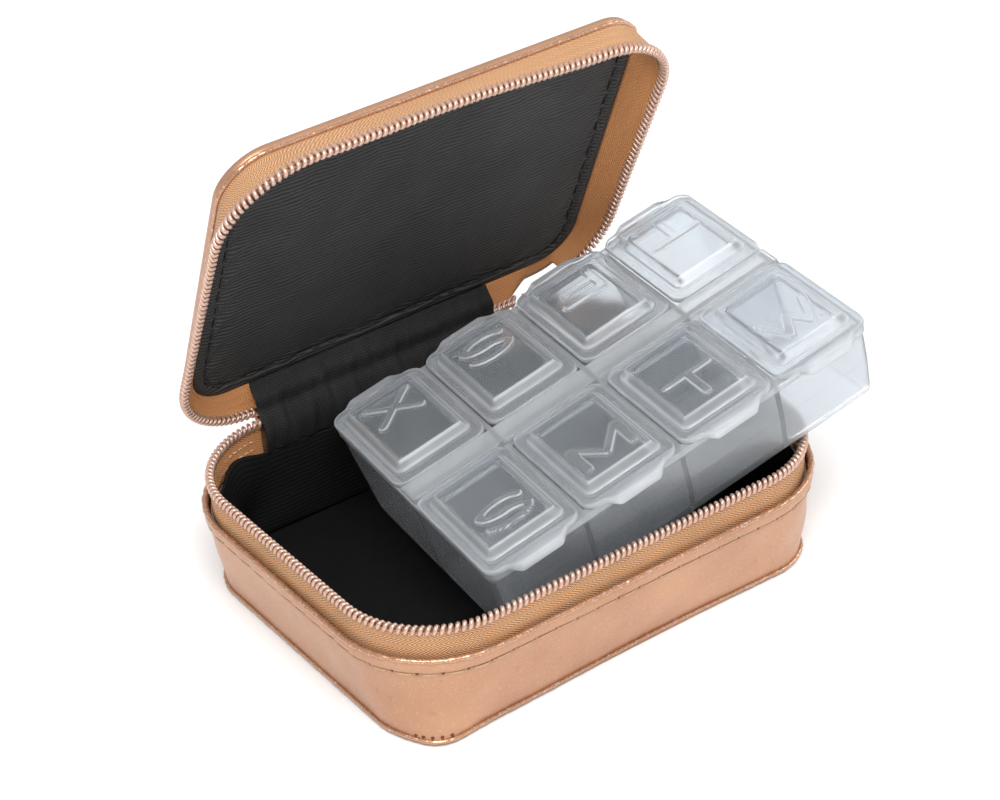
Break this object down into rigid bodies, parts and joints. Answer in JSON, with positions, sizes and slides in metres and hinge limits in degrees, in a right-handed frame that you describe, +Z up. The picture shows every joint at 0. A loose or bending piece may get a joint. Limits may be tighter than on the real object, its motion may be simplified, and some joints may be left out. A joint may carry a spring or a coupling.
{
  "type": "travel pill organizer",
  "caption": "Zipped soft-sided travel case, open, with a frosted pill box of separately lidded compartments leaning out over its rim.",
  "frame": {"origin": "centre of the case's flat bottom face", "axes": "+X along the case's long side, +Y towards its hinge, +Z up"},
  "size_m": [0.1301, 0.0976, 0.11],
  "materials": {
    "rose_leatherette": "metallic rose-gold leatherette, satin",
    "stiffener_board": "grey pulp board, matte",
    "black_lining": "ribbed nylon lining, soft sheen",
    "tan_tape": "woven zipper tape, matte",
    "rose_coil": "metallised nylon coil, glossy",
    "rose_metal": "plated zinc, polished",
    "frosted_plastic": "frosted translucent polypropylene"
  },
  "bodies": {
    "base": {"base_bottom_panel": "rose_leatherette", "base_side_wall": "rose_leatherette", "base_welt": "rose_leatherette", "base_rim_fold": "rose_leatherette", "base_wall_board": "stiffener_board", "base_floor_board": "stiffener_board", "base_lining_floor": "black_lining", "base_lining_wall": "black_lining", "base_zipper_tape": "tan_tape", "base_zipper_coil": "rose_coil", "hinge_spine": "rose_leatherette", "hinge_lining": "black_lining", "zipper_slider": "rose_metal"},
    "case_lid": {"lid_top_panel": "rose_leatherette", "lid_side_band": "rose_leatherette", "lid_edge_fold": "rose_leatherette", "lid_board": "stiffener_board", "lid_lining": "black_lining", "lid_zipper_tape": "tan_tape", "lid_zipper_coil": "rose_coil"},
    "zipper_pull": {"zipper_pull": "rose_metal"},
    "pill_box": {"pill_tray": "frosted_plastic"},
    "pill_lid_sunday": {"pill_lid_sunday": "frosted_plastic"},
    "pill_lid_monday": {"pill_lid_monday": "frosted_plastic"},
    "pill_lid_tuesday": {"pill_lid_tuesday": "frosted_plastic"},
    "pill_lid_wednesday": {"pill_lid_wednesday": "frosted_plastic"},
    "pill_lid_thursday": {"pill_lid_thursday": "frosted_plastic"},
    "pill_lid_friday": {"pill_lid_friday": "frosted_plastic"},
    "pill_lid_saturday": {"pill_lid_saturday": "frosted_plastic"},
    "pill_lid_extra": {"pill_lid_extra": "frosted_plastic"}
  },
  "joints": [
    {"name": "case_lid_hinge", "type": "hinge", "parent": "base", "child": "case_lid", "pos_m": [0.0015, 0.0447, 0.0282], "axis": [-1, 0, 0], "range_deg": [-10, 45], "deforming": ["hinge_spine", "hinge_lining"]},
    {"name": "pill_box_slide", "type": "slide", "parent": "base", "child": "pill_box", "axis": [0.9536, -0.1002, 0.284], "range_m": [0, 0.12]},
    {"name": "zipper_pull_swing", "type": "hinge", "parent": "base", "child": "zipper_pull", "pos_m": [0.04203, 0.04612, 0.0282], "axis": [0.9578, -0.2874, 0], "range_deg": [0, 30]},
    {"name": "pill_lid_sunday_hinge", "type": "hinge", "parent": "pill_box", "child": "pill_lid_sunday", "pos_m": [-0.01675, -0.0071, 0.03344], "axis": [-0.9536, 0.1002, -0.284], "range_deg": [0, 90]},
    {"name": "pill_lid_monday_hinge", "type": "hinge", "parent": "pill_box", "child": "pill_lid_monday", "pos_m": [0.00614, -0.00951, 0.04026], "axis": [-0.9536, 0.1002, -0.284], "range_deg": [0, 90]},
    {"name": "pill_lid_tuesday_hinge", "type": "hinge", "parent": "pill_box", "child": "pill_lid_tuesday", "pos_m": [0.02902, -0.01192, 0.04708], "axis": [-0.9536, 0.1002, -0.284], "range_deg": [0, 90]},
    {"name": "pill_lid_wednesday_hinge", "type": "hinge", "parent": "pill_box", "child": "pill_lid_wednesday", "pos_m": [0.05191, -0.01432, 0.05389], "axis": [-0.9536, 0.1002, -0.284], "range_deg": [0, 90]},
    {"name": "pill_lid_thursday_hinge", "type": "hinge", "parent": "pill_box", "child": "pill_lid_thursday", "pos_m": [0.05271, -0.00717, 0.05371], "axis": [0.9536, -0.1002, 0.284], "range_deg": [0, 90]},
    {"name": "pill_lid_friday_hinge", "type": "hinge", "parent": "pill_box", "child": "pill_lid_friday", "pos_m": [0.02983, -0.00476, 0.04689], "axis": [0.9536, -0.1002, 0.284], "range_deg": [0, 90]},
    {"name": "pill_lid_saturday_hinge", "type": "hinge", "parent": "pill_box", "child": "pill_lid_saturday", "pos_m": [0.00694, -0.00236, 0.04008], "axis": [0.9536, -0.1002, 0.284], "range_deg": [0, 90]},
    {"name": "pill_lid_extra_hinge", "type": "hinge", "parent": "pill_box", "child": "pill_lid_extra", "pos_m": [-0.01594, 0.00005, 0.03326], "axis": [0.9536, -0.1002, 0.284], "range_deg": [0, 90]}
  ]
}
